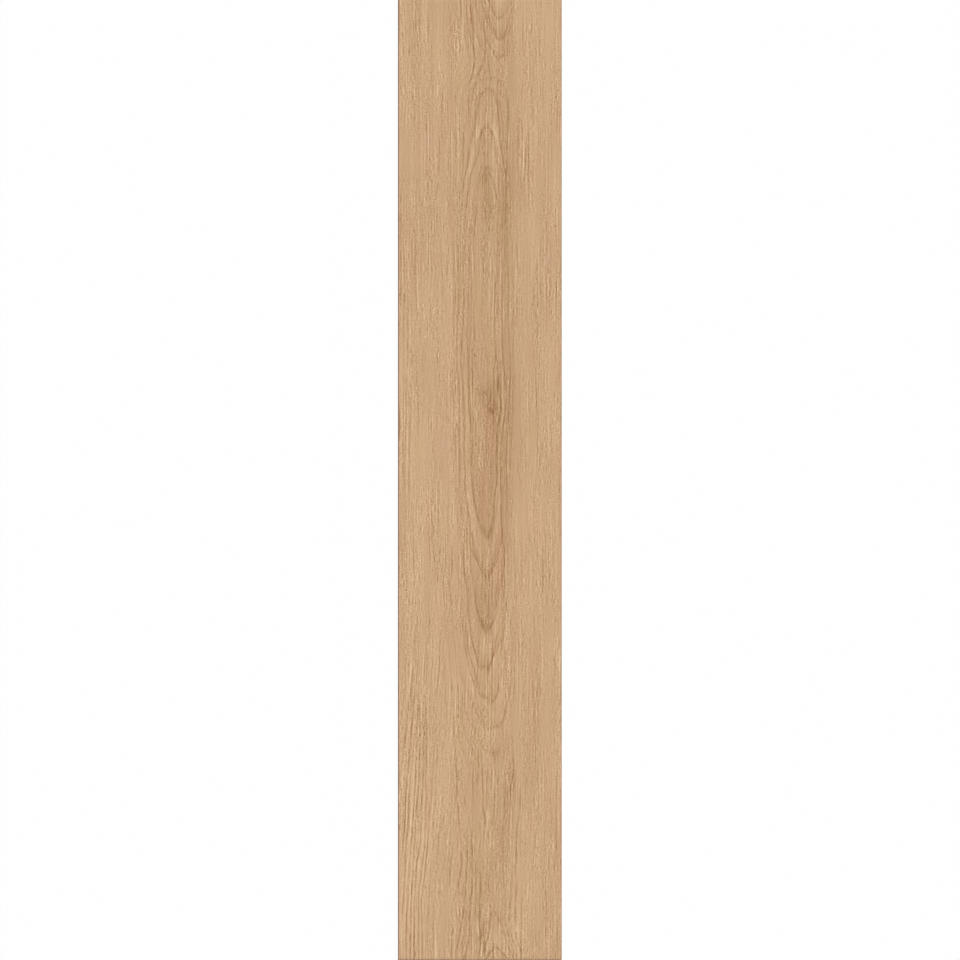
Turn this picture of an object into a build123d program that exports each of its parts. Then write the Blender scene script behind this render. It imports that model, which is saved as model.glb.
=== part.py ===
"""Glue-down vinyl floor plank.

The plank is one sheet: filled vinyl, its printed oak face and its clear wear coat are pressed together hot, and
the cold sheet is die-cut to size. The four arrises of the wear face are then planed to a micro-bevel, so that
a joint between two planks reads as a fine groove. The back is flat, to take adhesive over its whole area.

Frame: origin at the middle of the back, +Y along the grain, +Z up out of the wear face. Millimetres.
"""

import os

from build123d import *

# Driving dimensions
plank_length = 1220.0
plank_width = 207.5
plank_thickness = 2.5
bevel_width = 1.0
bevel_depth = 0.5

os.makedirs("parts", exist_ok=True)

# The die-cut blank stands on its back, with square corners and upright cut edges.
with BuildPart() as plank:
    with BuildSketch(Plane.XY) as die_outline:
        Rectangle(plank_width, plank_length)
    extrude(amount=plank_thickness)

    # The micro-bevel runs round all four arrises of the wear face, wider across the face than it is deep.
    wear_face = plank.faces().sort_by(Axis.Z)[-1]
    chamfer(wear_face.edges(), length=bevel_width, length2=bevel_depth, reference=wear_face)

plank.part.label = "plank"
export_step(plank.part, "parts/plank.step")
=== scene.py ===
"""Looks of a glue-down vinyl floor plank: its oak print, pressed grain, painted bevels, cut edges and back.

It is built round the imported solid, in the same frame: origin at the middle of the back, +Y along the grain,
+Z up out of the wear face. Blender's lengths are metres; the oak drawing is laid out in millimetres.
"""

import math

import bpy
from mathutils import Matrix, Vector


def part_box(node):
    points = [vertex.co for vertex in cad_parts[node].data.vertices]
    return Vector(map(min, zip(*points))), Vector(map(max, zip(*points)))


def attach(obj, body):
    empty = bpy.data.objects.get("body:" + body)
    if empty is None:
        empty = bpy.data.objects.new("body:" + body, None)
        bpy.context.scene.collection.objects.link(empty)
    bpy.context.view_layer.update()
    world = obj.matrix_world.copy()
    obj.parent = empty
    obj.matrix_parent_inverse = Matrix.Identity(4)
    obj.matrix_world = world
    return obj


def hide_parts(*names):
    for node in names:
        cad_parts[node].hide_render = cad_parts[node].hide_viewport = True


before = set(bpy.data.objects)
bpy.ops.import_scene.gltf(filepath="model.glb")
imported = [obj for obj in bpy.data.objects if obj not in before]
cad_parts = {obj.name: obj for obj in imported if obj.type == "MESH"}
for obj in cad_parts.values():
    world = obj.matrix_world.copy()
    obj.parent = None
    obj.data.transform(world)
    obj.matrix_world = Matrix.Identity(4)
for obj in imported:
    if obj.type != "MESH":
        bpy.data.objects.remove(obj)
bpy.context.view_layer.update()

# The oak drawing. It shows a plain-sawn board with the heart of the log close under its face, so the growth
# rings come out as long nested eyes along the heart line, with one small knot. The print cylinder is cut
# from the whole drawing, the pressing plate from its rings and fibres.
MILLIMETRES = 1000.0
# Noise is stretched by its gain to about one either way, and two seeds lie a step apart in it.
NOISE_GAIN = 6.25
SEED_STEP = 17.3
# The grain's wanderings, and the waves in its rings: how strong, how wide and long, and the seed of each.
SLOW_WAVE = (0.5, 22, 90, 1)
QUICK_WAVE = (0.15, 8, 26, 2)
RING_WAVE = (0.04, 9, 60, 4)
FIBRE_WAVE = (0.025, 2.6, 45, 5)
# The growth rings: how wide, how far shifted, and where in a ring its dark edge lies. Then how soft that
# edge is at the tip of an eye, and how much softer and paler along its sides. All but the width are shares.
RING_WIDTH = 6.35
RING_PHASE = 0.2
RING_EDGE = 0.87
TIP_EDGE = 0.035
SIDE_EDGE = 0.07
SIDE_FADE = 0.5
# How far aside the lips of a dash lie, and how strong they are.
LIP = 2.1
LIP_SHARE = 0.42
# How strong a dash is, and how much that swings, in breaks so many times as wide and as long as the dash.
DASH_LEVEL = 0.75
DASH_SWING = 0.6
BREAK_WIDTH = 3
BREAK_LENGTH = 0.3
# A soft spot ends at so many times its reach.
SPOT_EDGE = 1.8

# Where the heart of the log runs, across the plank, from the foot to the head.
HEART_LINE = [
    (-620, 20), (-553, 20), (-400, 22), (-318, 17), (-282, 13), (-239, 7), (-193, 8), (-124, 9), (-72, 8.5),
    (0, 6.5), (90, 5), (229, 5), (330, 8), (396, 9), (496, 9.5), (515, 18), (534, 27.5), (559, 27),
    (585, 25.5), (620, 25),
]
# How many rings lie between the heart and the face along that line. Each local dip is the middle of an eye.
HEART_DEPTH = [
    (-620, 6.1), (-595, 6.7), (-549, 7.7), (-480, 9), (-400, 9.5), (-350, 8.7), (-318, 7.7), (-282, 6.7),
    (-239, 5.7), (-193, 4.7), (-124, 3.7), (-72, 2.7), (-20, 2), (60, 1.8), (260, 1.9), (349, 1.85),
    (375, 2.1), (396, 2.7), (447, 3.7), (496, 4.7), (516, 5.9), (534, 5.7), (558, 4.7),
    (585, 3.7), (612, 2.7),
]
# The rings round the long eye are pushed out by it, from this far off the heart.
BULGE_REACH = 8.0
EYE_BULGE = [(-150, 0), (-20, 5), (60, 7), (250, 7), (400, 3), (500, 0)]
# The grain leans out to the left towards the foot.
LEAN = [(-620, -20), (-521, -19), (-407, -12.5), (-254, -5), (-100, 0), (620, 0)]
# One ring from its pale early wood, over its darkening late wood, to the next ring.
RING_SHADE = [(0, -0.35), (0.3, -0.15), (0.6, 0.05), (RING_EDGE, 0.25), (1, -0.35)]
# How bold the rings are, across and along.
BOLD_ACROSS = [(-45, 0), (-30, 0.5), (-20, 1), (25, 1), (33, 0.6), (42, 0)]
BOLD_ALONG = [
    (-620, 0.6), (-560, 0.5), (-520, 0.15), (-430, 0.15), (-340, 0.4), (-300, 0.6), (-180, 0.6),
    (-60, 0.55), (0, 0.45), (250, 0.4), (360, 0.3), (390, 0.45), (430, 0.6), (480, 0.6), (515, 0.4),
    (540, 0.7), (620, 0.8),
]
# Lines that stand out, drawn one by one: how bold, then how far along and across each point is.
DRAWN_LINES = [
    # Foot, to the left of the heart and on it.
    (1.4, [(-540, -32), (-521, -29), (-502, -25), (-476, -23),
           (-457, -24), (-419, -27), (-381, -29), (-330, -32)]),
    (1.2, [(-520, -39), (-508, -38), (-490, -38), (-470, -35)]),
    (1.7, [(-625, -23), (-604, -19), (-584, -15), (-546, -13), (-508, -10), (-470, -10), (-440, -11)]),
    (1.3, [(-620, -34), (-590, -28), (-564, -24), (-545, -21),
           (-525, -19), (-501, -17), (-470, -16), (-440, -18)]),
    (1.2, [(-560, -5), (-540, -5), (-508, -5), (-480, -6)]),
    (1.1, [(-630, -3), (-584, 1), (-546, 1), (-490, 2)]),
    (1.4, [(-640, -7), (-607, 2), (-598, 5), (-588, 8),
           (-579, 11), (-569, 12.5), (-555, 13.5), (-536, 12)]),
    (1.2, [(-640, 56), (-605, 42), (-596, 37), (-588, 34), (-580, 32), (-572, 30), (-563, 27), (-549, 24)]),
    (0.8, [(-640, 61), (-606, 47), (-597, 43), (-588, 39), (-582, 37), (-570, 35), (-550, 34)]),
    (0.9, [(-600, 48), (-584, 42), (-572, 39), (-559, 38), (-525, 39), (-512, 40), (-490, 42)]),
    (1.0, [(-630, 65), (-598, 53), (-590, 50), (-579, 47), (-564, 46), (-533, 46), (-505, 47)]),
    (1.1, [(-640, -13), (-607, 9), (-601, 12.5), (-595, 17.5), (-587, 22)]),
    (1.2, [(-640, 55), (-606, 33), (-601, 29), (-596, 24), (-587, 21)]),
    (1.1, [(-564, 24), (-556, 23.5), (-551, 21), (-547, 18), (-541, 15)]),
    (0.9, [(-562, 23.5), (-556, 24), (-550, 26), (-543, 29)]),
    (0.9, [(-405, -4), (-375, -3), (-335, -2)]),
    (1.0, [(-412, 5), (-394, 4), (-380, 3), (-355, 3), (-338, 2)]),
    (1.1, [(-463, 13), (-451, 11), (-438, 9), (-419, 5), (-402, 3)]),
    # Foot, to the right of the heart.
    (0.8, [(-436, 34), (-420, 31), (-406, 30), (-388, 31)]),
    (1.2, [(-435, 42), (-413, 40), (-394, 38), (-368, 42), (-343, 42), (-320, 41)]),
    (1.2, [(-505, 44), (-476, 46), (-457, 46), (-438, 48), (-419, 51), (-400, 52), (-380, 53)]),
    # Left margin.
    (1.1, [(-360, -98), (-320, -93.5), (-293, -91), (-270, -88), (-252, -86), (-215, -83)]),
    (1.2, [(-470, -100), (-422, -96), (-389, -93), (-354, -90), (-293, -84.5), (-255, -80), (-220, -77)]),
    (1.1, [(-570, -99), (-498, -95), (-468, -93.5), (-437, -91.5), (-397, -89), (-360, -86.5)]),
    (1.2, [(-660, -94), (-571, -93.5), (-533, -91.5), (-503, -90.5),
           (-457, -86), (-397, -81.5), (-343, -80), (-250, -79)]),
    (1.2, [(-660, -89), (-559, -88.5), (-528, -87), (-473, -82),
           (-427, -79), (-356, -76.5), (-270, -76.5)]),
    (1.1, [(-660, -83.5), (-559, -83.5), (-506, -81), (-457, -76.5),
           (-402, -72.5), (-366, -71.5), (-270, -72)]),
    (1.1, [(-660, -78.5), (-546, -78), (-523, -77), (-478, -72),
           (-419, -68.5), (-356, -68.5), (-270, -70)]),
    (1.2, [(-640, -74), (-549, -74), (-521, -72), (-488, -68.5), (-440, -65), (-400, -63.5)]),
    (0.7, [(-620, -67), (-560, -66), (-510, -63), (-470, -60)]),
    (0.8, [(-20, -97.5), (50, -97.5), (125, -96.5), (200, -96.5), (320, -96)]),
    (1.0, [(-40, -96), (50, -94.5), (100, -92.5), (140, -92), (195, -92), (250, -92)]),
    (1.0, [(-50, -90.5), (25, -90), (50, -89), (90, -88), (145, -88), (190, -88)]),
    (0.7, [(160, -101), (229, -101), (305, -100), (400, -99)]),
    (0.6, [(320, -58), (349, -57), (381, -54), (407, -52), (445, -50), (495, -48)]),
    # Tips of the rings towards the foot.
    (0.8, [(-318, 11), (-315, 9), (-307, 5), (-292, 0), (-270, -6), (-240, -12)]),
    (0.8, [(-318, 23), (-311, 28), (-299, 32), (-286, 33), (-250, 35)]),
    (0.8, [(-284, 11), (-277, 8), (-264, 0), (-241, -8), (-216, -15), (-180, -20)]),
    (0.8, [(-286, 13), (-280, 18), (-260, 24), (-235, 26), (-205, 29)]),
    (1.0, [(-243, 4), (-239, 0), (-222, -6), (-203, -11), (-184, -14), (-150, -17)]),
    (0.9, [(-241, 12), (-229, 17), (-216, 19), (-190, 24)]),
    (0.8, [(-230, 24), (-203, 29), (-178, 32), (-150, 33)]),
    (1.0, [(-246, 4), (-241, 1), (-236, -1.5), (-232, -3), (-224, -6)]),
    (1.0, [(-246, 9), (-240, 14), (-234, 15), (-228, 16.5), (-219, 18.5)]),
    (0.9, [(-192, 6), (-180, 3), (-171, -1), (-159, -4), (-135, -6)]),
    (0.8, [(-190, 14), (-180, 18), (-165, 22), (-152, 20), (-125, 22)]),
    (0.7, [(-180, 10), (-160, 10), (-140, 10)]),
    (0.9, [(-192, 15.5), (-188, 13.5), (-185, 10.5), (-182, 7), (-178, 5)]),
    (0.9, [(-198, 8), (-192, 6.5), (-188, 5.5), (-183, 5)]),
    (0.8, [(-130, 7), (-114, 1), (-102, -5), (-86, -12), (-50, -16)]),
    (0.8, [(-130, 9), (-112, 17), (-95, 19), (-70, 21)]),
    (1.2, [(-160, 28), (-146, 29), (-121, 31), (-95, 31), (-70, 30)]),
    # The long eye, left.
    (0.9, [(-77, 8), (-70, 6), (-57, 0), (-38, -5), (-13, -9),
           (38, -10), (64, -11), (89, -14), (114, -15)]),
    (0.9, [(80, -14), (114, -15), (165, -15), (190, -16), (229, -15), (280, -13), (320, -15)]),
    (1.0, [(-60, -13), (-44, -15), (-25, -18), (0, -19), (51, -20), (80, -20)]),
    (1.0, [(40, -20), (102, -21), (146, -24), (171, -23), (190, -23), (216, -21), (260, -20)]),
    (0.9, [(-30, -25), (30, -26), (102, -27), (150, -29), (200, -29), (260, -27), (330, -28)]),
    (0.8, [(0, -31), (60, -33), (120, -34), (190, -33), (250, -32), (320, -33)]),
    (0.5, [(-356, -32), (-267, -36), (-178, -42), (-76, -51), (20, -53)]),
    (0.5, [(-330, -40), (-250, -46), (-150, -55), (-40, -60)]),
    (0.5, [(-310, -25), (-230, -30), (-150, -36), (-40, -43)]),
    # The long eye, right.
    (1.4, [(-77, 10), (-61, 14), (-44, 17), (-25, 18), (0, 22), (51, 22), (76, 22), (98, 17)]),
    (1.0, [(112, 17), (127, 16), (152, 18), (171, 20), (197, 19), (229, 19), (265, 20)]),
    (0.6, [(76, 3), (88, -2), (98, -5), (110, -3), (122, 2)]),
    (1.3, [(-100, 29), (-64, 28), (-38, 27), (13, 27), (38, 27), (57, 28), (76, 29), (108, 32), (135, 30)]),
    (1.0, [(100, 32), (127, 31), (159, 28), (190, 28), (229, 28), (270, 27)]),
    (0.6, [(-80, 34), (0, 34), (60, 35), (130, 38), (200, 36), (290, 35)]),
    (0.5, [(-60, 40), (40, 40), (120, 43), (200, 42), (320, 41)]),
    # Tips of the rings towards the head.
    (0.9, [(345, -23), (375, -20), (400, -16), (419, -13), (445, -7), (467, -4), (482, 0), (498, 7)]),
    (1.1, [(370, 37), (394, 32), (419, 28), (445, 25), (464, 23), (480, 20), (497, 12)]),
    (0.8, [(330, -18), (349, -16), (375, -13), (394, -9), (413, -2), (432, 1), (448, 7)]),
    (0.7, [(395, 23), (413, 21), (432, 18), (448, 11)]),
    (0.5, [(300, -5.5), (325, -5), (345, -5), (360, -4), (372, -2), (380, 1), (387, 5), (396, 9)]),
    (0.6, [(335, 23), (350, 22), (362, 20), (372, 17.5), (379, 16), (388, 13), (396, 10)]),
    (0.5, [(376, 0), (380, 1), (387, 5), (392, 8), (397, 10.5)]),
    (0.5, [(374, 17.5), (379, 16), (388, 13), (393, 10.5), (397, 8.5)]),
    (0.8, [(368, 3), (374, 3.2), (380, 4), (387, 5)]),
    (0.7, [(374, 8), (379, 8.5), (385, 8.5), (391, 8)]),
    (0.8, [(318, -5), (328, -4.5), (337, -3.5), (348, -4)]),
    (0.6, [(327, 11), (333, 8.5), (343, 7), (352, 10)]),
    (0.6, [(327, 11), (333, 13), (343, 13), (352, 11)]),
    (0.9, [(408, 35), (430, 36), (457, 36), (490, 35)]),
    (1.0, [(318, 30), (337, 32), (362, 33), (381, 34), (408, 36)]),
    (0.8, [(292, 28), (311, 28), (330, 28), (352, 29)]),
    (0.6, [(350, -27), (390, -22), (419, -21), (450, -20)]),
    # Head.
    (1.3, [(492, -15), (502, -13), (514, -9), (533, -7), (559, -8), (584, -10), (630, -14)]),
    (0.9, [(470, -11), (495, -8), (514, -2), (533, 4), (546, 6), (565, 5), (595, 3)]),
    (0.7, [(554, 24), (565, 21), (577, 15), (602, 8), (630, 2)]),
    (0.7, [(554, 28), (565, 32), (577, 36), (595, 41), (625, 45)]),
    (0.7, [(580, 24), (590, 20), (600, 15), (620, 8)]),
    (0.6, [(530, 33), (553, 35), (585, 41)]),
    (0.9, [(492, 11), (508, 13), (521, 11), (540, 10)]),
]
# A line fades over this share of its length at each end.
LINE_FADE = 0.2
# How dark a line is across its width, in millimetres from its middle, with a paler lip on each side.
LINE_PROFILE = [(-3.8, 0), (-2.4, -0.2), (-1, 0.3), (0, 1), (1, 0.3), (2.4, -0.2), (3.8, 0)]
# Bands of pale early wood, in the same way, from the foot to the head. They are broader and have no lips.
PALE_BANDS = [
    (0.7, [(-630, -10), (-597, -4), (-565, -3), (-530, -2)]),
    (0.8, [(-474, 14), (-451, 14), (-438, 13), (-416, 9)]),
    (0.6, [(-290, 0), (-277, -4), (-265, -7.5), (-253, -10.5), (-235, -14)]),
    (0.6, [(-270, 27.5), (-255, 27), (-240, 27.5), (-222, 29.5)]),
    (0.5, [(-222, 33), (-205, 33), (-188, 34), (-165, 35.5)]),
    (0.7, [(-203, 19.5), (-190, 20), (-178, 20.5), (-160, 22)]),
    (0.7, [(-112, 5), (-102, 2), (-89, -3), (-64, -8), (-38, -11), (-13, -14), (20, -14)]),
    (0.7, [(-114, 10), (-97, 13), (-76, 19), (-51, 22), (-38, 23), (-13, 23), (20, 24)]),
    (0.5, [(-133, -26), (-89, -29), (-51, -32), (-13, -35), (51, -38), (140, -39), (178, -39), (292, -38)]),
    (0.7, [(10, 1), (45, 1), (70, -1), (92, -5), (108, -8), (117, -8), (132, -5)]),
    (0.4, [(-10, -16), (80, -17.5), (150, -19), (220, -18.5), (310, -17)]),
    (0.7, [(145, 24), (165, 24), (184, 23), (212, 23)]),
    (0.8, [(375, -17), (394, -12.5), (413, -7.5), (432, -3.5), (455, 3)]),
    (0.8, [(396, 25.5), (409, 24), (424, 22), (438, 19.5), (456, 15)]),
]
BAND_PROFILE = [(-4.5, 0), (-1.8, -0.45), (0, -0.6), (1.8, -0.45), (4.5, 0)]
# Where the wood is darker or paler: place and reach, both across and along, and by how much on the screen.
TONES = [
    ((-85, -60), (30, 520), 2),
    ((0, -480), (130, 170), 2.5),
    ((-82, -420), (22, 160), 3),
    ((75, -440), (30, 160), -3),
    ((8, 70), (30, 170), -3.5),
    ((8, -170), (30, 110), 2.5),
    ((33, 170), (8, 240), -5),
    ((19, 60), (8, 60), -6),
    ((5, -45), (16, 50), -5),
    ((9, -69), (7, 9), -9),
    ((-12, -84), (7, 18), -7),
    ((10, -109), (4, 9), 6),
    ((9, -145), (9, 20), -6),
    ((8, -172), (9, 26), -7),
    ((9, -188), (7, 11), -13),
    ((10, -216), (6, 14), 9),
    ((29, -25), (5, 80), -4),
    ((36, 368), (7, 85), -9),
    ((-17, 190), (9, 130), -4),
    ((9, 434), (6, 12), -5),
    ((11, 348), (7, 26), -8),
    ((29, 561), (4, 9), -8),
    ((19, 546), (4, 12), 6),
    ((24, 604), (8, 15), 9),
    ((14, 100), (6, 18), -19),
    ((18, 91), (4, 8), -10),
    ((13, 88), (3, 2.6), -20),
    ((16, 84.5), (2.2, 2.2), -16),
    ((16, 72), (7, 19), -11),
    ((5, 79), (6, 1.6), -7),
    ((7, 110), (2.2, 1.8), -12),
    ((1, 107), (2, 2), -9),
    ((17, 119), (7, 14), -9),
    ((1, 108), (5, 9), -7),
    ((24, -272), (7, 12), 6),
    ((24, -300), (6, 10), 6),
    ((20, -352), (5, 8), -9),
    ((8, -312), (3, 2), -9),
    ((18, -315), (6, 1.8), -7),
    ((28, -316), (3, 2.2), -8),
    ((6, 382), (6, 7), -6),
    ((40, -390), (7, 32), -11),
    ((28, -449), (5, 10), -6),
    ((27, -475), (10, 20), -4),
    ((24, -590), (8, 20), 8),
    ((-13, -521), (12, 60), -4),
    ((-27, -510), (5, 18), -6),
    ((-45, 130), (10, 150), 1.5),
    ((-90, -545), (13, 60), 8),
    ((-90, 50), (11, 70), 3.5),
    ((-88, 385), (14, 50), -3.5),
    ((-50, 340), (26, 110), -4.5),
    ((-34, 576), (14, 40), -6),
    ((-11, 245), (8, 60), 6),
    ((24, 275), (8, 50), 6),
    ((45, 385), (12, 60), -5),
    ((24, -245), (7, 30), 5),
    ((8, -310), (22, 70), 3.5),
    ((45, -575), (14, 32), 7),
]
# Where the knot is, how far it reaches, and how far it pushes the fibres apart.
KNOT = (12.8, 94.0)
KNOT_REACH = (14.0, 26.0)
KNOT_PUSH = 0.5
# The curl of the knot's heart, its right wall, and the short breaks in the fibres beside it.
KNOT_LINES = [
    (0.8, [(80, 18), (84.5, 16), (87.5, 12.5), (91.8, 10.3),
           (95.6, 11.2), (99.5, 13.4), (104, 14.3), (113, 14.5)]),
    (1.3, [(62, 21), (74, 23.4), (82, 25.3), (90, 26.6), (97, 26.3),
           (107, 24.8), (114, 23), (126, 23.3), (145, 22.5)]),
    (0.6, [(66, 15.5), (74, 17), (79, 17.7), (83, 16.8), (90, 15)]),
    (0.7, [(104, 10.5), (107.5, 8), (110.5, 5.5), (114, 3)]),
    (0.6, [(98, 4.3), (103, 4.5), (107, 4.3), (111, 4)]),
    (-0.6, [(88, 16.5), (92, 15.5), (96, 15), (100, 15)]),
]


class Wire:
    """A socket of a node tree. Sums, products and quotients of wires add Math nodes to that tree."""

    def __init__(self, tree, socket=None):
        self.tree = tree
        self.socket = socket

    def node(self, kind, settings, inputs, output=0):
        """Adds a node: its settings first, then a value, a wire or a list of wires for each socket."""
        node = self.tree.nodes.new(kind)
        for name, value in settings.items():
            if name == "mapping":
                draw_curve(node.mapping, value)
            elif name == "color_ramp":
                fill_ramp(node.color_ramp, value)
            else:
                setattr(node, name, value)
        open_sockets = [socket for socket in node.inputs if socket.enabled]
        for name, value in inputs.items():
            socket = open_sockets[name] if isinstance(name, int) else node.inputs[name]
            for item in value if isinstance(value, list) else [value]:
                if isinstance(item, Wire):
                    self.tree.links.new(item.socket, socket)
                else:
                    socket.default_value = item
        return Wire(self.tree, node.outputs[output] if node.outputs else None)

    def output(self, name):
        """Another output of the node that this wire comes from."""
        return Wire(self.tree, self.socket.node.outputs[name])

    def maths(self, operation, *others):
        """A Math node with this wire as its first value."""
        return self.node("ShaderNodeMath", {"operation": operation}, dict(enumerate((self, *others))))

    def __add__(self, other):
        return self.maths("ADD", other)

    __radd__ = __add__

    def __sub__(self, other):
        return self.maths("SUBTRACT", other)

    def __rsub__(self, other):
        return self.node("ShaderNodeMath", {"operation": "SUBTRACT"}, {0: other, 1: self})

    def __mul__(self, other):
        return self.maths("MULTIPLY", other)

    __rmul__ = __mul__

    def __truediv__(self, other):
        return self.maths("DIVIDE", other)

    def __abs__(self):
        return self.maths("ABSOLUTE")

    def step(self, low, high, start=0.0, end=1.0):
        """A soft step from start, at low, to end, at high."""
        ends = {"Value": self, "From Min": low, "From Max": high, "To Min": start, "To Max": end}
        return self.node("ShaderNodeMapRange", {"interpolation_type": "SMOOTHSTEP"}, ends)

    def curve(self, points):
        """A smooth curve through those points, read at this value."""
        return self.node("ShaderNodeFloatCurve", {"mapping": points}, {"Value": self})

    def stretch(self, scale, shift):
        """This place, scaled and then shifted along each axis."""
        sockets = {0: self, 1: scale, 2: shift}
        return self.node("ShaderNodeVectorMath", {"operation": "MULTIPLY_ADD"}, sockets)

    def parts(self):
        """This place as three wires: across, along and up."""
        corner = self.node("ShaderNodeSeparateXYZ", {}, {"Vector": self})
        return [corner.output(axis) for axis in "XYZ"]


def draw_curve(mapping, points):
    """Lays a curve through those points, level beyond its ends."""
    mapping.use_clip = False
    mapping.extend = "HORIZONTAL"
    curve = mapping.curves[0]
    for end, place in zip(curve.points, (points[0], points[-1])):
        end.location = place
    for place in points[1:-1]:
        curve.points.new(*place)
    for point in curve.points:
        point.handle_type = "AUTO_CLAMPED"
    mapping.update()


def fill_ramp(ramp, stops):
    """Gives a colour ramp those stops, each a place and a colour."""
    while len(ramp.elements) < len(stops):
        ramp.elements.new(1)
    for element, (place, colour) in zip(ramp.elements, stops):
        element.position = place
        element.color = colour


def streaks(place, width, length, seed, aside=0.0):
    """Soft streaks along the grain, about that wide and long, as often dark as pale."""
    cells = place.stretch((1 / width, 1 / length, 0), (seed * SEED_STEP + aside / width, 0, 0))
    sockets = {"Vector": cells, "Scale": 1, "Detail": 0}
    noise = place.node("ShaderNodeTexNoise", {"noise_dimensions": "2D"}, sockets)
    return noise.maths("MULTIPLY_ADD", NOISE_GAIN, -NOISE_GAIN / 2)


def layer(place, strength, width, length, seed):
    """Streaks of that strength."""
    return strength * streaks(place, width, length, seed)


def dashes(place, width, length, seed):
    """Crisp straight lines, each between two lips of the other shade, that come and go along the grain."""
    beside = streaks(place, width, length, seed, -LIP) + streaks(place, width, length, seed, LIP)
    breaks = streaks(place, width * BREAK_WIDTH, length * BREAK_LENGTH, seed + 1)
    return (streaks(place, width, length, seed) - beside * LIP_SHARE) * (DASH_LEVEL + DASH_SWING * breaks)


def spot(place, centre, reach, level):
    """A soft round spot, of that level in the middle."""
    across, along = 1 / reach[0], 1 / reach[1]
    off = place.stretch((across, along, 0), (-centre[0] * across, -centre[1] * along, 0))
    away = off.node("ShaderNodeVectorMath", {"operation": "LENGTH"}, {0: off}, "Value")
    return away.step(0, SPOT_EDGE, level, 0)


def wander(x, place):
    """Across the plank, with the small wanderings of the grain taken out and those round the knot."""
    x = x + layer(place, *SLOW_WAVE) + layer(place, *QUICK_WAVE)
    return x - (x - KNOT[0]) * spot(place, KNOT, KNOT_REACH, KNOT_PUSH)


def growth_rings(x, y, place):
    """The late wood of the growth rings. Its dark edge stays thin where a ring turns, at its tip."""
    off = abs(x - y.curve(HEART_LINE))
    bulge = y.curve(EYE_BULGE) * (1 - (off / -BULGE_REACH).maths("EXPONENT"))
    across = (off - bulge) / RING_WIDTH
    depth = y.curve(HEART_DEPTH)
    rings = (across * across + depth * depth).maths("SQRT")
    side = across / rings
    year = (rings + layer(place, *RING_WAVE) + layer(place, *FIBRE_WAVE) + RING_PHASE).maths("FRACT")
    edge = (year - RING_EDGE) / (TIP_EDGE + SIDE_EDGE * side)
    dark_edge = (edge * edge * -1).maths("EXPONENT") * (1 - SIDE_FADE * side)
    return (dark_edge + year.curve(RING_SHADE)) * x.curve(BOLD_ACROSS) * y.curve(BOLD_ALONG)


def add_line(lines, x, y, bold, points, profile):
    """One drawn line, fading at its ends, on top of the lines so far."""
    low, high = points[0][0], points[-1][0]
    fade = (high - low) * LINE_FADE
    along = y.curve([(low, 0), (low + fade, bold), (high - fade, bold), (high, 0)])
    return (x - y.curve(points)).curve(profile).maths("MULTIPLY_ADD", along, lines)


# The wear face. A clear satin coat lies over the printed oak, whose tone is warmer and darker round the
# heart and at the knot. Pores and fibres are short strokes along the grain, pressed in as well as printed.
OAK = (201, 163, 125)
# How much of a level of the drawing the red, green and blue take.
FADE = (0.94, 1.03, 1.05)
# Levels of the drawing, and the levels they print at: the palest strokes are held back.
PRINTED = [
    (-110, -78), (-80, -64), (-55, -49), (-35, -33), (-20, -20),
    (0, 0), (10, 10), (20, 18), (35, 29), (60, 38),
]
# How dark the rings and lines print, and how they break up along the fibres.
LINE_PRINT = 24.0
LINE_LEVEL = 0.9
LINE_BREAKS = (0.4, 1.4, 16, 3)
# The lean of the grain dies away from the left to the right, between these places, down to this share.
LEAN_SPAN = (-80, 80)
LEAN_LEFT_OVER = 0.3
# The fine grain: how strong, wide and long its dashes are, and their seed. Then its smallest specks.
GRAIN = [(9.3, 0.7, 170, 50), (8.0, 0.7, 28, 52), (7.2, 0.7, 8, 54)]
SPECKS = (9.0, 0.7, 2.0, 60)
# Where the fine grain is stronger or weaker: its level, its streaks, then place, reach and by how much.
ROUGH_LEVEL = 0.8
ROUGH_STREAKS = (0.27, 13, 90, 16)
ROUGH_ZONES = [
    ((-25, 0), (9, 620), 0.1),
    ((46, 190), (12, 300), -0.35),
    ((-85, -400), (26, 230), 0.35),
    ((9, -235), (8, 55), -0.5),
    ((8, 392), (7, 32), -0.45),
    ((-86, -150), (16, 60), 0.25),
    ((-44, -255), (18, 60), -0.3),
    ((-66, -560), (30, 50), -0.25),
]
# The tone of the margins, and the heartwood's: where its middle is, how far it reaches, and how dark it is.
MARGIN_TONE = 4.3
HEARTWOOD_MIDDLE = 11
HEARTWOOD_REACH = (10, 48)
HEARTWOOD_TONE = -8.3
# Streaks of darker and paler tone along the grain.
NARROW_TONES = (1.6, 9, 220, 15)
BROAD_TONES = (1.2, 30, 90, 14)
# Where the print is richer, and where its hue turns to yellow or to red: place, reach and by how much.
RICH_ZONE = ((-4, -50), (42, 280), 0.015)
PLAIN_HUE = 0.5
HUE_STREAKS = (0.002, 16, 120, 17)
HUE_ZONES = [
    ((-4, -50), (42, 280), -0.002),
    ((0, -187), (14, 40), 0.004),
    ((15, 114), (9, 20), 0.005),
    ((-3, 275), (16, 65), 0.005),
    ((14, 400), (16, 90), 0.0025),
    ((3, -490), (22, 110), 0.004),
    ((45, -572), (14, 40), 0.004),
]
# The coat: how rough it is, how much the fine grain dulls it, and how high that grain stands, in metres.
SATIN = 0.5
SATIN_GRAIN = 0.005
FIBRE_SHARE = 0.05
FIBRE_RELIEF = 0.000006


def screen_colour(red, green, blue):
    """A colour given in 8-bit screen levels, as linear light."""
    levels = [max(level, 0) / 255 for level in (red, green, blue)]
    return (*[v / 12.92 if v < 0.04045 else ((v + 0.055) / 1.055) ** 2.4 for v in levels], 1.0)


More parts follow.
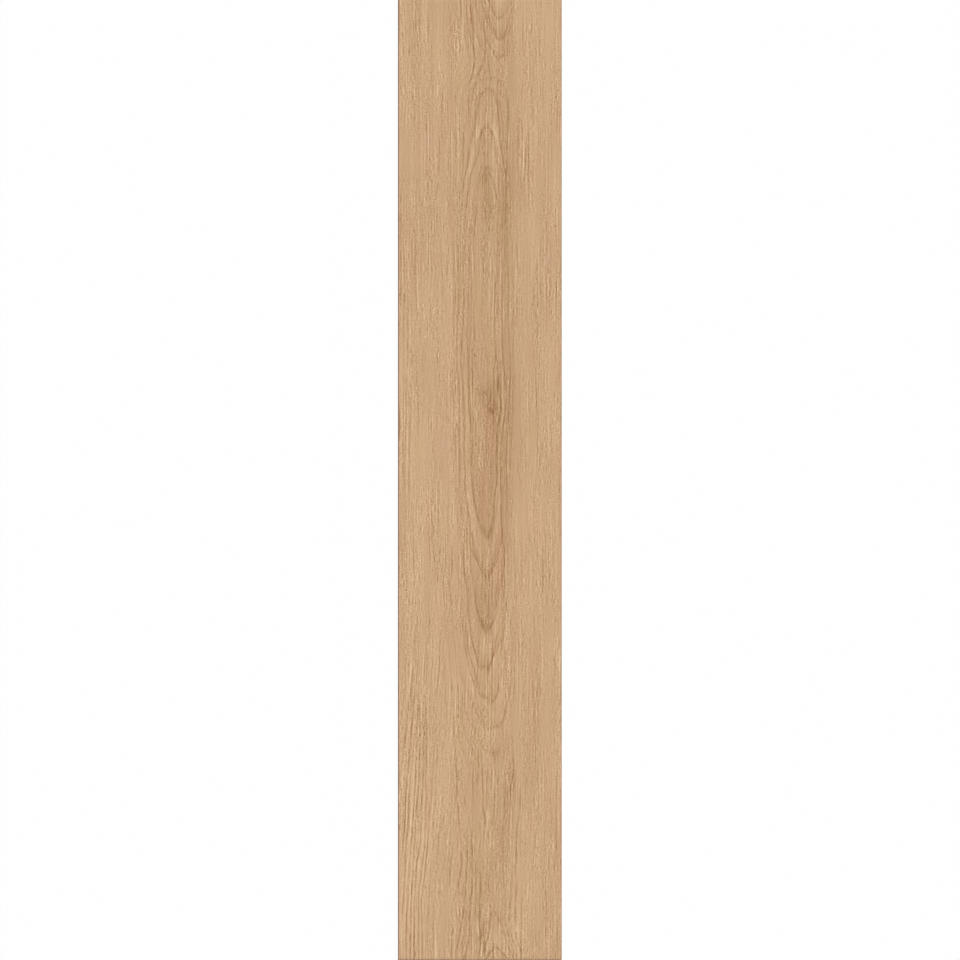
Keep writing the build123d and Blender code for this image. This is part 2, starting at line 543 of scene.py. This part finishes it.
def new_finish(name):
    """A material with no nodes yet, and the start of its nodes."""
    finish = bpy.data.materials.new(name)
    finish.use_nodes = True
    finish.node_tree.nodes.clear()
    return finish, Wire(finish.node_tree)


def plank_place(start):
    """Where a point of the plank lies, in millimetres."""
    place = start.node("ShaderNodeTexCoord", {}, {}, "Object")
    return place.stretch((MILLIMETRES,) * 3, (0, 0, 0))


def laid(across, along):
    """A place on a flat drawing."""
    return across.node("ShaderNodeCombineXYZ", {}, {"X": across, "Y": along})


def coat(start, sockets):
    """The surface shader and its output."""
    surface = start.node("ShaderNodeBsdfPrincipled", {}, sockets)
    start.node("ShaderNodeOutputMaterial", {}, {"Surface": surface})


oak_print, start = new_finish("oak print")
place = plank_place(start)
x, y, _ = place.parts()

# The rings and lines of the print.
wandered = wander(x, place)
lines = growth_rings(wandered, y, place)
for bold, points in DRAWN_LINES:
    lines = add_line(lines, wandered, y, bold, points, LINE_PROFILE)
for bold, points in PALE_BANDS:
    lines = add_line(lines, wandered, y, bold, points, BAND_PROFILE)
for bold, points in KNOT_LINES:
    lines = add_line(lines, x, y, bold, points, LINE_PROFILE)
lines = lines * (LINE_LEVEL + layer(place, *LINE_BREAKS))

# Its fine grain, straightened along its lean.
lean = y.curve(LEAN) * x.step(*LEAN_SPAN, 1, LEAN_LEFT_OVER)
straight = laid(x - lean + layer(place, *SLOW_WAVE), y)
grain = layer(straight, *SPECKS)
for strength, width, length, seed in GRAIN:
    grain = grain + strength * dashes(straight, width, length, seed)
rough = ROUGH_LEVEL + layer(place, *ROUGH_STREAKS)
for zone in ROUGH_ZONES:
    rough = rough + spot(place, *zone)

# Its tone, and all three printed together.
tone = MARGIN_TONE + abs(x - HEARTWOOD_MIDDLE).step(*HEARTWOOD_REACH, HEARTWOOD_TONE, 0)
tone = tone + layer(straight, *NARROW_TONES) + layer(straight, *BROAD_TONES)
for patch in TONES:
    tone = tone + spot(place, *patch)
level = tone - LINE_PRINT * lines + grain * rough
lowest, highest = PRINTED[0][0], PRINTED[-1][0]
span = highest - lowest
stops = []
for drawn, printed in PRINTED:
    ink = screen_colour(*[plain + printed * share for plain, share in zip(OAK, FADE)])
    stops.append(((drawn - lowest) / span, ink))
colour = level.node("ShaderNodeValToRGB", {"color_ramp": stops}, {"Fac": (level - lowest) / span})
hue = PLAIN_HUE + layer(place, *HUE_STREAKS)
for zone in HUE_ZONES:
    hue = hue + spot(place, *zone)
rich = 1 + spot(place, *RICH_ZONE)
colour = level.node("ShaderNodeHueSaturation", {}, {"Hue": hue, "Saturation": rich, "Color": colour})
fibres = {"Height": grain * FIBRE_SHARE, "Distance": FIBRE_RELIEF, "Strength": 1.0}
bump = grain.node("ShaderNodeBump", {}, fibres)
satin = SATIN + SATIN_GRAIN * grain
coat(start, {"Base Color": colour, "Roughness": satin, "Specular IOR Level": 0.35, "Normal": bump})

# The micro-bevel. The planed arris shows the bare sheet, so it is rolled with a thin brown paint, a shade
# darker than the print. The paint lies a little unevenly along the bevel.
BEVEL_PAINT = (134, 92, 50)
# How many shades the paint varies either way, and its mottle and streaks: strength, width, length and seed.
BEVEL_SHADES = 24
BEVEL_MOTTLE = (6, 3, 9, 21)
BEVEL_STREAKS = (4, 3, 60, 22)


def shaded(colour, shades, level):
    """That colour, darker or paler by the level, up to that many shades."""
    dark = screen_colour(*[part - shades for part in colour])
    pale = screen_colour(*[part + shades for part in colour])
    place_on_ramp = level / (2 * shades) + 0.5
    return level.node("ShaderNodeValToRGB", {"color_ramp": [(0, dark), (1, pale)]}, {"Fac": place_on_ramp})


bevel_paint, start = new_finish("bevel paint")
place = plank_place(start)
colour = shaded(BEVEL_PAINT, BEVEL_SHADES, layer(place, *BEVEL_MOTTLE) + layer(place, *BEVEL_STREAKS))
coat(start, {"Base Color": colour, "Roughness": 0.6, "Specular IOR Level": 0.35})

# The cut edges. They show the filled vinyl of the sheet itself, grey and dull. A steel die shears it
# square and leaves fine upright scores.
CUT_VINYL = (150, 141, 130)
CUT_SHADES = 28
CUT_SCORES = (6, 0.7, 6, 31)
CUT_SHEAR = (5, 5, 0.8, 32)
cut_vinyl, start = new_finish("cut vinyl")
x, y, z = plank_place(start).parts()
place = laid(x + y, z)
colour = shaded(CUT_VINYL, CUT_SHADES, layer(place, *CUT_SCORES) + layer(place, *CUT_SHEAR))
coat(start, {"Base Color": colour, "Roughness": 0.75, "Specular IOR Level": 0.3})

# The back. It is the calendered side of the sheet, grey and dull vinyl. The roller leaves a fine even tooth
# on it, which holds the adhesive.
BACKING = (134, 130, 124)
BACKING_SHADES = 28
BACKING_CLOUDS = (4, 40, 160, 42)
BACKING_STREAKS = (3, 3, 120, 43)
TOOTH = (0.9, 0.9, 41)
TOOTH_SHADE = 4
TOOTH_RELIEF = 0.00008
backing, start = new_finish("backing")
place = plank_place(start)
tooth = streaks(place, *TOOTH)
level = TOOTH_SHADE * tooth + layer(place, *BACKING_CLOUDS) + layer(place, *BACKING_STREAKS)
colour = shaded(BACKING, BACKING_SHADES, level)
bump = tooth.node("ShaderNodeBump", {}, {"Height": tooth, "Distance": TOOTH_RELIEF})
coat(start, {"Base Color": colour, "Roughness": 0.8, "Specular IOR Level": 0.3, "Normal": bump})

# The plank itself, one sheet. The hot sheet is pressed down into its grain, so the relief lies below the
# flat face; then it is cut, and its upper arrises are planed off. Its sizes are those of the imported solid.
COLUMNS = 321
ROWS = 301
EMBOSS_DEPTH = 0.00005
# How deep the plate presses everywhere, at the rings and along the fibres, as shares of that depth.
PRESSED = 0.3
PRESSED_RINGS = 0.3
PRESSED_FIBRES = (0.2, 2.2, 40, 12)
# How far in from the sides and the ends the face stays flatter.
FLAT_SIDE = 0.002
FLAT_END = 0.004
WELD = 0.00001
# A corner this many bevels in from the plank's outline, or less, belongs to the rim of the face.
RIM_REACH = 1.5
FACING_DOWN = -0.5
low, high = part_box("plank")
corners = [vertex.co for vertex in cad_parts["plank"].data.vertices]
face_half_width = max(corner.x for corner in corners if corner.z > high.z - WELD)
bevel_foot = max(corner.z for corner in corners if corner.x > high.x - WELD)
plank_sizes = {
    "Length": high.y - low.y,
    "Width": high.x - low.x,
    "Thickness": high.z - low.z,
    "Bevel Width": high.x - face_half_width,
    "Bevel Depth": high.z - bevel_foot,
    "Emboss Depth": EMBOSS_DEPTH,
}

press = bpy.data.node_groups.new("pressed plank", "GeometryNodeTree")
press.interface.new_socket("Geometry", in_out="INPUT", socket_type="NodeSocketGeometry")
press.interface.new_socket("Geometry", in_out="OUTPUT", socket_type="NodeSocketGeometry")
size_sockets = {}
for name in plank_sizes:
    size_sockets[name] = press.interface.new_socket(name, in_out="INPUT", socket_type="NodeSocketFloat")
start = Wire(press)
given = start.node("NodeGroupInput", {}, {})
length, width, thickness, bevel_width, bevel_depth, emboss = [given.output(name) for name in plank_sizes]

# The flat face, with the grain pressed into it.
face_size = {"Size X": width - bevel_width * 2, "Size Y": length - bevel_width * 2}
sheet = start.node("GeometryNodeMeshGrid", {}, {**face_size, "Vertices X": COLUMNS, "Vertices Y": ROWS})
place = start.node("GeometryNodeInputPosition", {}, {})
x, y, _ = place.parts()
place_mm = place.stretch((MILLIMETRES,) * 3, (0, 0, 0))
rings = growth_rings(wander(x * MILLIMETRES, place_mm), y * MILLIMETRES, place_mm)
late_wood = rings.maths("MAXIMUM", 0)
pressed = (PRESSED + PRESSED_RINGS * late_wood + layer(place_mm, *PRESSED_FIBRES)).step(0, 1)
from_side = width * 0.5 - bevel_width - abs(x)
from_end = length * 0.5 - bevel_width - abs(y)
clear_of_edge = from_side.step(0, FLAT_SIDE) * from_end.step(0, FLAT_END)
face_height = thickness - emboss * pressed * clear_of_edge
face_place = start.node("ShaderNodeCombineXYZ", {}, {"X": x, "Y": y, "Z": face_height})
sheet = sheet.node("GeometryNodeSetPosition", {}, {"Geometry": sheet, "Position": face_place})
sheet = sheet.node("GeometryNodeSetShadeSmooth", {}, {"Geometry": sheet, "Shade Smooth": True})

# The bevel and the cut edge grow from the rim of the face, whose lines have a face on one side only.
faces_beside = start.node("GeometryNodeInputMeshEdgeNeighbors", {}, {})
rim = faces_beside.maths("LESS_THAN", 2)
outer_x = x.maths("SIGN") * (width * 0.5)
outer_y = y.maths("SIGN") * (length * 0.5)
on_side = abs(x).maths("GREATER_THAN", width * 0.5 - bevel_width * RIM_REACH)
on_end = abs(y).maths("GREATER_THAN", length * 0.5 - bevel_width * RIM_REACH)
rim_x = x + (outer_x - x) * on_side
rim_y = y + (outer_y - y) * on_end
bands = []
for rim_height in (thickness - bevel_depth, 0.0):
    rim_lines = {"Mesh": sheet, "Selection": rim, "Offset Scale": 0.0}
    grown = sheet.node("GeometryNodeExtrudeMesh", {"mode": "EDGES"}, rim_lines)
    rim = grown.output("Top")
    bands.append(grown.output("Side"))
    rim_place = start.node("ShaderNodeCombineXYZ", {}, {"X": rim_x, "Y": rim_y, "Z": rim_height})
    moved = {"Geometry": grown, "Selection": rim, "Position": rim_place}
    sheet = grown.node("GeometryNodeSetPosition", {}, moved)
bevel_band, edge_band = bands
both_bands = bevel_band.node("FunctionNodeBooleanMath", {"operation": "OR"}, {0: bevel_band, 1: edge_band})
crisp = {"Geometry": sheet, "Selection": both_bands, "Shade Smooth": False}
sheet = sheet.node("GeometryNodeSetShadeSmooth", {}, crisp)

# The back closes the outline.
outline = sheet.node("GeometryNodeMeshToCurve", {}, {"Mesh": sheet, "Selection": rim})
back = outline.node("GeometryNodeFillCurve", {"mode": "TRIANGLES"}, {"Curve": outline})
back = back.node("GeometryNodeFlipFaces", {}, {"Mesh": back})
sheet = start.node("GeometryNodeJoinGeometry", {}, {"Geometry": [sheet, back]})
sheet = sheet.node("GeometryNodeMergeByDistance", {}, {"Geometry": sheet, "Distance": WELD})
_, _, facing_up = start.node("GeometryNodeInputNormal", {}, {}).parts()
back_side = facing_up.maths("LESS_THAN", FACING_DOWN)
sheet = sheet.node("GeometryNodeRealizeInstances", {}, {"Geometry": sheet})
finishes = [(oak_print, True), (bevel_paint, bevel_band), (cut_vinyl, edge_band), (backing, back_side)]
for finish, side in finishes:
    dressed = {"Geometry": sheet, "Selection": side, "Material": finish}
    sheet = sheet.node("GeometryNodeSetMaterial", {}, dressed)
start.node("NodeGroupOutput", {}, {"Geometry": sheet})

# The press works on a blank, and its result becomes a plain mesh without the blank's own empty slot.
blank = bpy.data.objects.new("blank_sheet", bpy.data.meshes.new("blank_sheet"))
bpy.context.scene.collection.objects.link(blank)
pressing = blank.modifiers.new("press", "NODES")
pressing.node_group = press
for name, size in plank_sizes.items():
    pressing[size_sockets[name].identifier] = size
pressed_mesh = bpy.data.meshes.new_from_object(blank.evaluated_get(bpy.context.evaluated_depsgraph_get()))
pressed_mesh.name = "vinyl_plank"
pressed_mesh.materials.pop(index=0)
bpy.data.objects.remove(blank)
plank = bpy.data.objects.new("vinyl_plank", pressed_mesh)
bpy.context.scene.collection.objects.link(plank)
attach(plank, "root")
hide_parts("plank")

# The floor. It is a plain white-painted board that the plank lies on, a hair lower so that the two share
# no face. It is white to the camera, and still takes the plank's shadow.
FLOOR_SPAN = 12.0
FLOOR_GAP = 0.0002
FLOOR_PAINT = (0.97, 0.97, 0.97, 1)
WHITE = (1, 1, 1, 1)
SEEN_WHITE = 0.96


def seen_rays(start):
    """1 for what is seen, straight or in a gloss or a glass, and 0 for light that falls on other things."""
    path = start.node("ShaderNodeLightPath", {}, {}, "Is Camera Ray")
    return (path + path.output("Is Glossy Ray") + path.output("Is Transmission Ray")).maths("MINIMUM", 1)


floor_mesh = bpy.data.meshes.new("floor")
half = FLOOR_SPAN / 2
floor_corners = [(-half, -half, 0), (half, -half, 0), (half, half, 0), (-half, half, 0)]
floor_mesh.from_pydata(floor_corners, [], [(0, 1, 2, 3)])
floor = bpy.data.objects.new("floor", floor_mesh)
floor.location.z = -FLOOR_GAP
bpy.context.scene.collection.objects.link(floor)
floor_white, start = new_finish("floor white")
painted = start.node("ShaderNodeBsdfDiffuse", {}, {"Color": FLOOR_PAINT})
lit = start.node("ShaderNodeEmission", {}, {"Color": WHITE, "Strength": 1.0})
mixed = start.node("ShaderNodeMixShader", {}, {0: seen_rays(start) * SEEN_WHITE, 1: painted, 2: lit})
start.node("ShaderNodeOutputMaterial", {}, {"Surface": mixed})
floor_mesh.materials.append(floor_white)

# The light. A broad key lamp stands at the upper right, low enough to show the bevels, and white walls all
# round fill in. The walls are plain white where they are seen.
KEY_SHARE = 0.6
WALL_SHARE = 0.32
KEY_HEIGHT = math.radians(36)
KEY_BEARING = math.atan2(1, 2)
KEY_BREADTH = math.radians(25)
key_lamp = bpy.data.lights.new("key", "SUN")
key_lamp.energy = KEY_SHARE * math.pi / math.sin(KEY_HEIGHT)
key_lamp.angle = KEY_BREADTH
key = bpy.data.objects.new("key", key_lamp)
key.rotation_euler = (0, math.pi / 2 - KEY_HEIGHT, KEY_BEARING)
bpy.context.scene.collection.objects.link(key)
walls = bpy.data.worlds.new("white walls")
walls.use_nodes = True
walls.node_tree.nodes.clear()
start = Wire(walls.node_tree)
strength = WALL_SHARE + (1 - WALL_SHARE) * seen_rays(start)
sky = start.node("ShaderNodeBackground", {}, {"Color": WHITE, "Strength": strength})
start.node("ShaderNodeOutputWorld", {}, {"Surface": sky})
bpy.context.scene.world = walls

# The camera. It hangs over the plank with a long lens and looks straight down. The plank's length fills
# the square picture, which cuts a little off its head and its foot.
LENS = 135.0
SENSOR = 36.0
HEAD_CUT = 0.0026
FOOT_CUT = 0.0003
ASIDE = 0.0002
camera = bpy.data.objects.new("camera", bpy.data.cameras.new("camera"))
camera.data.lens = LENS
camera.data.sensor_width = SENSOR
framed_length = plank_sizes["Length"] - HEAD_CUT - FOOT_CUT
camera.location = (ASIDE, (FOOT_CUT - HEAD_CUT) / 2, high.z + framed_length * LENS / SENSOR)
bpy.context.scene.collection.objects.link(camera)
bpy.context.scene.camera = camera
bpy.context.scene.view_settings.view_transform = "Standard"
